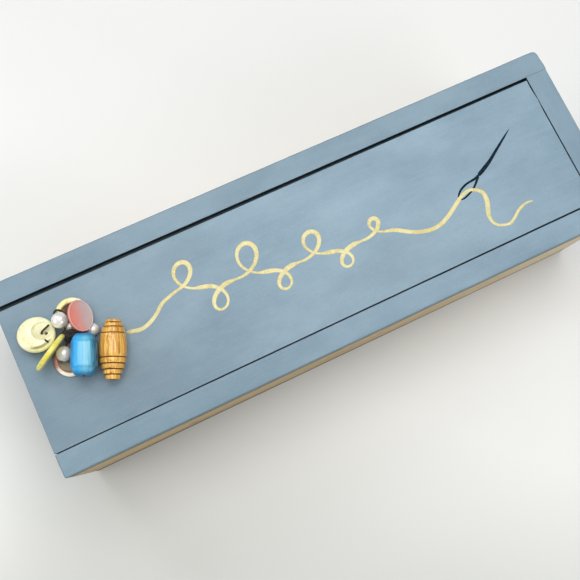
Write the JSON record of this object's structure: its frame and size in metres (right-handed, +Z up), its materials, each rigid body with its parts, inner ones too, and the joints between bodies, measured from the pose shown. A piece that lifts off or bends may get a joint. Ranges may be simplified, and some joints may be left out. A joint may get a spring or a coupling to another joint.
{
  "type": "button box",
  "caption": "Long wooden box with a sliding lid in grooves, painted slate blue, the lid's handle a heap of buttons, pearls and beads.",
  "frame": {"origin": "centre of the box's underside", "axes": "+X along the length towards the closed end, +Y towards the back side, +Z up"},
  "size_m": [0.326, 0.105, 0.1094],
  "materials": {
    "side_wood": "bare pine, painted over its top edge",
    "painted_wood": "matt slate-blue chalk paint, rubbed through along the arrises",
    "lid_paint": "matt slate-blue chalk paint with a painted needle and thread",
    "bottom_wood": "bare pine",
    "brad_steel": "bright steel brads, sunk heads",
    "glue": "clear hot-melt glue",
    "black_cord": "black elastic cord",
    "cream_plastic": "aged cream plastic, polished",
    "yellow_plastic": "yellow plastic, satin",
    "pink_shell": "pink dyed shell, polished",
    "yellow_shell": "cream and yellow shell",
    "rose_shell": "cream and rose shell",
    "pearl": "pearl lustre",
    "blue_bead": "turquoise blue glazed bead",
    "bead_wood": "varnished light wood, burnt grooves"
  },
  "bodies": {
    "box": {"front_side": "side_wood", "back_side": "side_wood", "closed_end": "painted_wood", "open_end": "painted_wood", "bottom_panel": "bottom_wood", "side_brads": "brad_steel", "bottom_brads": "brad_steel"},
    "lid": {"lid": "lid_paint", "glue_pad": "glue", "cord_knot": "black_cord", "cream_button": "cream_plastic", "yellow_button": "yellow_plastic", "pink_button": "pink_shell", "upper_shell_button": "yellow_shell", "lower_shell_button": "rose_shell", "pearl_upper": "pearl", "pearl_right": "pearl", "pearl_lower": "pearl", "seed_pearl": "pearl", "blue_bead": "blue_bead", "barrel_bead": "bead_wood", "cream_cord": "black_cord", "shell_cord": "black_cord", "barrel_cord": "black_cord", "blue_cord": "black_cord"}
  },
  "joints": [
    {"name": "lid_slide", "type": "slide", "parent": "box", "child": "lid", "axis": [-1, 0, 0], "range_m": [0, 0.33]}
  ]
}
